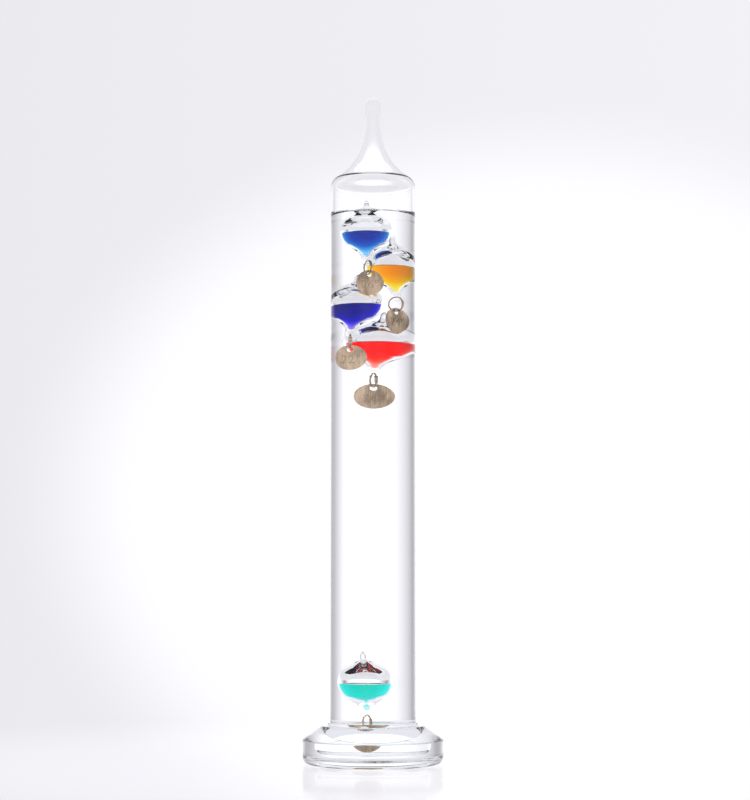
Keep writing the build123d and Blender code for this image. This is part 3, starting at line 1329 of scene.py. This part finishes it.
    def build(self, master: bpy.types.Object, level: float, metals: list[bpy.types.Material]) -> None:
        """Builds the float's four pieces.

        Args:
            master: The bulb that is copied.
            level: Height of the liquid outside, in millimetres.
            metals: Finishes of the ring, the tag and the tag's stamped figures.
        """
        wire, brass, sunk = metals
        pieces = [
            self.build_bulb(master, level),
            self.build_dye(),
            self.build_ring(wire),
            self.build_tag(brass, sunk),
        ]
        for piece in pieces:
            log.info("%s: %d faces", piece.name, len(piece.data.polygons))


def smoothstep(t: float) -> float:
    """Eases 0 to 1, held at the ends."""
    t = min(max(t, 0.0), 1.0)
    return t * t * (3 - 2 * t)


@dataclass
class Studio:
    """White table, soft surroundings and the camera."""

    distance: float = 850.0
    camera_height: float = 78.0
    aim: tuple[float, float] = (0.85, 150.9)
    view_height: float = 335.8
    table_radius: float = 450.0
    table_drop: float = 0.05
    glow_bearing: float = math.radians(4.4)
    glow_rise: float = math.radians(2.2)
    glow_width: float = math.radians(10.5)
    glow_height: float = math.radians(8.0)

    def build_table(self) -> bpy.types.Object:
        """Lays the round white table under the foot."""
        deselect()
        bpy.ops.mesh.primitive_circle_add(vertices=96, radius=self.table_radius * MM, fill_type="NGON")
        table = bpy.context.object
        table.name = "table"
        settle(table, Matrix.Translation((0.0, 0.0, -self.table_drop * MM)))
        edit(table)
        bpy.ops.mesh.inset(thickness=self.table_radius * 0.5 * MM, depth=0.0)
        close_edit()
        table.data.materials.append(FloorFinish().material())
        return table

    def build_world(self) -> None:
        """Sets the surroundings: a softly lit backdrop to look at, and the light that reaches the glass."""
        world = bpy.data.worlds.new("studio")
        bpy.context.scene.world = world
        world.use_nodes = True
        tree = world.node_tree
        tree.nodes.clear()

        def add(kind: str, *inputs, **settings) -> bpy.types.NodeSocket:
            """Adds a node, feeds its inputs in order and returns its first output."""
            node = tree.nodes.new("ShaderNode" + kind)
            for key, value in settings.items():
                setattr(node, key, value)
            for socket, value in zip(node.inputs, inputs):
                if isinstance(value, bpy.types.NodeSocket):
                    tree.links.new(value, socket)
                elif value is not None:
                    socket.default_value = value
            return node.outputs[0]

        def ramp(value: bpy.types.NodeSocket, stops: list[tuple[float, float]]) -> bpy.types.NodeSocket:
            """Greys along a value, as a colour ramp."""
            output = add("ValToRGB", value)
            self.set_stops(output.node, stops)
            return output

        where = tree.nodes.new("ShaderNodeTexCoord").outputs["Generated"]
        parts = tree.nodes.new("ShaderNodeSeparateXYZ")
        tree.links.new(where, parts.inputs[0])
        bearing = add("Math", parts.outputs["X"], parts.outputs["Y"], operation="ARCTAN2")
        share = add("MapRange", bearing, -math.pi, math.pi, 0.0, 1.0)
        height = add("Math", parts.outputs["Z"], operation="ARCSINE")
        rise = add("MapRange", height, -math.pi / 2, math.pi / 2, 0.0, 1.0)

        around = ramp(share, [(0.5 + degrees / 360, value) for degrees, value in self.horizon()])
        above = ramp(rise, [(0.5 + degrees / 180, value) for degrees, value in self.zenith()])
        blend = ramp(rise, [(0.5 + degrees / 180, value) for degrees, value in self.band()])
        lit = add("MixRGB", blend, above, around)

        aside = add("Math", bearing, self.glow_bearing, operation="SUBTRACT")
        upward = add("Math", height, self.glow_rise, operation="SUBTRACT")
        aside = add("Math", aside, self.glow_width, operation="DIVIDE")
        upward = add("Math", upward, self.glow_height, operation="DIVIDE")
        offset = add("CombineXYZ", aside, upward, 0.0)
        length = tree.nodes.new("ShaderNodeVectorMath")
        length.operation = "LENGTH"
        tree.links.new(offset, length.inputs[0])
        glow = add("MapRange", length.outputs["Value"], 1.42, 0.98, 0.0, 1.0, interpolation_type="SMOOTHSTEP")
        paper = ramp(share, [(0.0, 0.84), (0.46, 0.82), (0.54, 0.9), (1.0, 0.84)])
        seen = add("MixRGB", glow, paper, (1.02, 1.02, 1.0, 1.0))

        camera_ray = tree.nodes.new("ShaderNodeLightPath").outputs["Is Camera Ray"]
        chosen = add("MixRGB", camera_ray, lit, seen)
        tinted = add("MixRGB", 1.0, chosen, (1.0, 0.992, 1.045, 1.0), blend_type="MULTIPLY")
        background = add("Background", tinted)
        output = tree.nodes.new("ShaderNodeOutputWorld")
        tree.links.new(background, output.inputs["Surface"])

    def horizon(self) -> list[tuple[float, float]]:
        """Brightness round the horizon, by bearing in degrees from straight behind the object."""
        return [
            (-180, 0.72), (-158, 0.95), (-132, 0.58), (-110, 0.7), (-75, 0.56), (-62, 0.35),
            (-52, 0.38), (-45, 0.6), (-28, 0.9), (-12, 1.2), (6, 1.28), (26, 1.15),
            (36, 0.84), (45, 0.64), (54, 0.47), (62, 0.33), (78, 0.56), (110, 0.68),
            (135, 0.55), (160, 0.85), (180, 0.72),
        ]

    def zenith(self) -> list[tuple[float, float]]:
        """Brightness by height in degrees, away from the horizon."""
        return [(-90, 0.95), (-20, 0.97), (-8, 0.9), (10, 0.84), (35, 0.78), (60, 0.9), (90, 1.1)]

    def band(self) -> list[tuple[float, float]]:
        """Share of the horizon's own brightness by height in degrees."""
        return [(-90, 0.0), (-24, 0.0), (-10, 1.0), (9.3, 1.0), (10.5, 0.2), (11.6, 0.0), (90, 0.0)]

    def set_stops(self, ramp: bpy.types.Node, stops: list[tuple[float, float]]) -> None:
        """Writes grey stops into a colour ramp.

        Args:
            ramp: Colour ramp node.
            stops: Positions with their brightness.
        """
        elements = ramp.color_ramp.elements
        elements[0].position, elements[1].position = stops[0][0], stops[-1][0]
        elements[0].color = (*(stops[0][1],) * 3, 1.0)
        elements[1].color = (*(stops[-1][1],) * 3, 1.0)
        for position, value in stops[1:-1]:
            elements.new(position).color = (value, value, value, 1.0)

    def build_camera(self) -> None:
        """Places the camera in front, low and looking slightly up."""
        lens = bpy.data.cameras.new("camera")
        camera = bpy.data.objects.new("camera", lens)
        bpy.context.scene.collection.objects.link(camera)
        place = Vector((0.0, -self.distance, self.camera_height)) * MM
        target = Vector((self.aim[0], 0.0, self.aim[1])) * MM
        camera.location = place
        camera.rotation_mode = "QUATERNION"
        camera.rotation_quaternion = (target - place).to_track_quat("-Z", "Y")
        lens.sensor_width = 36.0
        lens.lens = lens.sensor_width * (target - place).length / (self.view_height * MM)
        lens.clip_start = 0.01
        lens.clip_end = 100.0
        bpy.context.scene.camera = camera

    def build(self) -> None:
        """Builds the table, surroundings and camera, and sets how light is traced."""
        self.build_table()
        self.build_world()
        self.build_camera()
        scene = bpy.context.scene
        scene.view_settings.view_transform = "Standard"
        scene.cycles.max_bounces = 96
        scene.cycles.transmission_bounces = 96
        scene.cycles.transparent_max_bounces = 16


def main() -> None:
    """Builds the thermometer from the vessel inwards, then the studio."""
    logging.basicConfig(level=logging.INFO, format="%(name)s %(message)s")
    mould = BulbMould()
    vessel, foot, filling = Vessel(), Foot(), Filling()
    floats = [FloatSet(recipe, mould) for recipe in RECIPES]
    vessel.build(foot.top, filling.contact)
    foot.build(vessel)
    parting = lathe("parting", mould.outside(0.02), 96)
    settle(parting, floats[0].body_place())
    filling.build(vessel, parting)
    master = mould.glass()
    # Bright and dull brass colours; the broad bands between them are painted reflections, the fine streaks
    # brushing grain.
    wire = BrassFinish(
        "ring_wire", (0.68, 0.54, 0.40), (0.34, 0.25, 0.17), 0.28, (900.0, 900.0, 900.0), 4e-6, 0.0
    )
    brass = BrassFinish(
        "tag_brass", (0.84, 0.635, 0.44), (0.36, 0.265, 0.175), 0.27, (4200.0, 4200.0, 180.0), 5e-6, 2.2e-4
    )
    sunk = BrassFinish(
        "stamped_brass", (0.62, 0.47, 0.33), (0.36, 0.26, 0.18), 0.36, (900.0, 900.0, 900.0), 4e-6, 0.0
    )
    metals = [finish.material() for finish in (wire, brass, sunk)]
    for item in floats:
        item.build(master, filling.level, metals)
    bpy.data.objects.remove(master)
    Studio().build()


if __name__ == "__main__":
    main()
